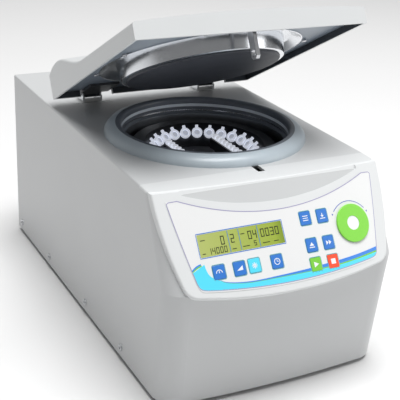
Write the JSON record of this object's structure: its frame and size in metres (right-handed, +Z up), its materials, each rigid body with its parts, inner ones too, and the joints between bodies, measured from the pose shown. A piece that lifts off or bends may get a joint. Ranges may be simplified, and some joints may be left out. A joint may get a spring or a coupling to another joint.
{
  "type": "microcentrifuge",
  "caption": "Refrigerated bench-top microcentrifuge with a hinged lid, angled tube rotor, sloped key and display panel, drive motor and cooling unit.",
  "frame": {"origin": "on the bench under the middle of the cabinet", "axes": "+Z up, -Y towards the operator, +X to the operator's right"},
  "size_m": [0.2936, 0.5587, 0.4174],
  "materials": {
    "cabinet_paint": "fine satin light-grey paint",
    "steel_pan": "satin grey",
    "foot_rubber": "matte",
    "bezel_plastic": "satin white moulding",
    "membrane_film": "printed polyester film",
    "display_glass": "clear window",
    "display_face": "olive liquid-crystal face",
    "circuit_board": "solder mask",
    "black_plastic": "moulded",
    "collar_rubber": "satin blue-grey",
    "bowl_metal": "dark anodised",
    "copper": "drawn tube",
    "foam": "closed-cell foam",
    "zinc_steel": "zinc plated",
    "motor_metal": "cast",
    "chrome_steel": "bright plated",
    "screw_steel": "bright",
    "fin_aluminium": "finned",
    "compressor_paint": "gloss black",
    "rotor_black": "black anodised",
    "tube_plastic": "translucent polypropylene",
    "hinge_black": "dark plated",
    "lid_plastic": "satin white moulding",
    "lid_liner": "smooth grey liner",
    "dish_steel": "polished stainless",
    "disc_rubber": "smooth black",
    "knob_green": "satin green",
    "key_blue": "soft-touch blue",
    "key_cyan": "soft-touch cyan",
    "key_green": "soft-touch green",
    "key_red": "soft-touch red"
  },
  "bodies": {
    "base": {"base_plate": "steel_pan", "feet": "foot_rubber", "housing_cover": "cabinet_paint", "front_bezel": "bezel_plastic", "control_membrane": "membrane_film", "display_window": "display_glass", "display_module": "display_face", "display_board": "circuit_board", "encoder": "black_plastic", "chamber_collar": "collar_rubber", "chamber_bowl": "bowl_metal", "evaporator_coil": "copper", "insulation": "foam", "chamber_posts": "zinc_steel", "motor_plate": "zinc_steel", "motor_isolators": "foot_rubber", "drive_motor": "motor_metal", "latch_catch": "zinc_steel", "latch_solenoid": "black_plastic", "hinge_brackets": "chrome_steel", "hinge_pins": "chrome_steel", "rear_panel": "cabinet_paint", "cabinet_screws": "screw_steel", "mains_inlet": "black_plastic", "switch_housing": "black_plastic", "fan_frame": "black_plastic", "fan_guard": "chrome_steel", "condenser": "fin_aluminium", "compressor": "compressor_paint", "discharge_line": "copper", "suction_line": "copper", "power_supply": "zinc_steel", "control_board": "circuit_board"},
    "rotor": {"drive_shaft": "screw_steel", "rotor": "rotor_black", "sample_tubes": "tube_plastic", "strip_tubes": "tube_plastic", "rotor_nut": "rotor_black"},
    "latch_bolt": {"latch_bolt": "screw_steel"},
    "lid": {"hinge_arms": "hinge_black", "lid_shell": "lid_plastic", "lid_pan": "lid_liner", "lid_dish": "dish_steel", "dish_disc": "disc_rubber", "lid_screws": "screw_steel", "lid_striker": "dish_steel"},
    "power_rocker": {"power_rocker": "black_plastic"},
    "condenser_fan": {"condenser_fan": "black_plastic"},
    "jog_knob": {"jog_knob": "knob_green"},
    "key_speed": {"key_speed": "key_blue"},
    "key_accel": {"key_accel": "key_blue"},
    "key_cool": {"key_cool": "key_cyan"},
    "key_time": {"key_time": "key_blue"},
    "key_program": {"key_program": "key_blue"},
    "key_save": {"key_save": "key_blue"},
    "key_open": {"key_open": "key_blue"},
    "key_pulse": {"key_pulse": "key_blue"},
    "key_start": {"key_start": "key_green"},
    "key_stop": {"key_stop": "key_red"}
  },
  "joints": [
    {"name": "lid_hinge", "type": "hinge", "parent": "base", "child": "lid", "pos_m": [0, 0.1275, 0.254], "axis": [1, 0, 0], "range_deg": [0, 28]},
    {"name": "rotor_spin", "type": "hinge", "parent": "base", "child": "rotor", "pos_m": [0, -0.047, 0.18], "axis": [0, 0, 1], "continuous": true},
    {"name": "latch_bolt_slide", "type": "slide", "parent": "base", "child": "latch_bolt", "axis": [-1, 0, 0], "range_m": [0, 0.012], "stiffness_N_per_m": 60, "springref_m": -0.002},
    {"name": "power_rocker_tilt", "type": "hinge", "parent": "base", "child": "power_rocker", "pos_m": [-0.044, 0.272, 0.052], "axis": [1, 0, 0], "range_deg": [0, 12]},
    {"name": "condenser_fan_spin", "type": "hinge", "parent": "base", "child": "condenser_fan", "pos_m": [0.072, 0.26, 0.076], "axis": [0, 1, 0], "continuous": true},
    {"name": "jog_knob_turn", "type": "hinge", "parent": "base", "child": "jog_knob", "pos_m": [0.0892, -0.24501, 0.18934], "axis": [0.0557, -0.8364, 0.5453], "continuous": true},
    {"name": "key_speed_press", "type": "slide", "parent": "base", "child": "key_speed", "axis": [0.0548, 0.8365, -0.5453], "range_m": [0, 0.0008], "stiffness_N_per_m": 900, "springref_m": -0.0004},
    {"name": "key_accel_press", "type": "slide", "parent": "base", "child": "key_accel", "axis": [0.0397, 0.8371, -0.5457], "range_m": [0, 0.0008], "stiffness_N_per_m": 900, "springref_m": -0.0004},
    {"name": "key_cool_press", "type": "slide", "parent": "base", "child": "key_cool", "axis": [0.0286, 0.8374, -0.5459], "range_m": [0, 0.0008], "stiffness_N_per_m": 900, "springref_m": -0.0004},
    {"name": "key_time_press", "type": "slide", "parent": "base", "child": "key_time", "axis": [0.0114, 0.8377, -0.5461], "range_m": [0, 0.0008], "stiffness_N_per_m": 900, "springref_m": -0.0004},
    {"name": "key_program_press", "type": "slide", "parent": "base", "child": "key_program", "axis": [-0.0177, 0.8376, -0.546], "range_m": [0, 0.0008], "stiffness_N_per_m": 900, "springref_m": -0.0004},
    {"name": "key_save_press", "type": "slide", "parent": "base", "child": "key_save", "axis": [-0.0317, 0.8373, -0.5458], "range_m": [0, 0.0008], "stiffness_N_per_m": 900, "springref_m": -0.0004},
    {"name": "key_open_press", "type": "slide", "parent": "base", "child": "key_open", "axis": [-0.0181, 0.8376, -0.546], "range_m": [0, 0.0008], "stiffness_N_per_m": 900, "springref_m": -0.0004},
    {"name": "key_pulse_press", "type": "slide", "parent": "base", "child": "key_pulse", "axis": [-0.0321, 0.8373, -0.5458], "range_m": [0, 0.0008], "stiffness_N_per_m": 900, "springref_m": -0.0004},
    {"name": "key_start_press", "type": "slide", "parent": "base", "child": "key_start", "axis": [-0.0182, 0.8376, -0.546], "range_m": [0, 0.0008], "stiffness_N_per_m": 900, "springref_m": -0.0004},
    {"name": "key_stop_press", "type": "slide", "parent": "base", "child": "key_stop", "axis": [-0.0324, 0.8373, -0.5458], "range_m": [0, 0.0008], "stiffness_N_per_m": 900, "springref_m": -0.0004}
  ]
}
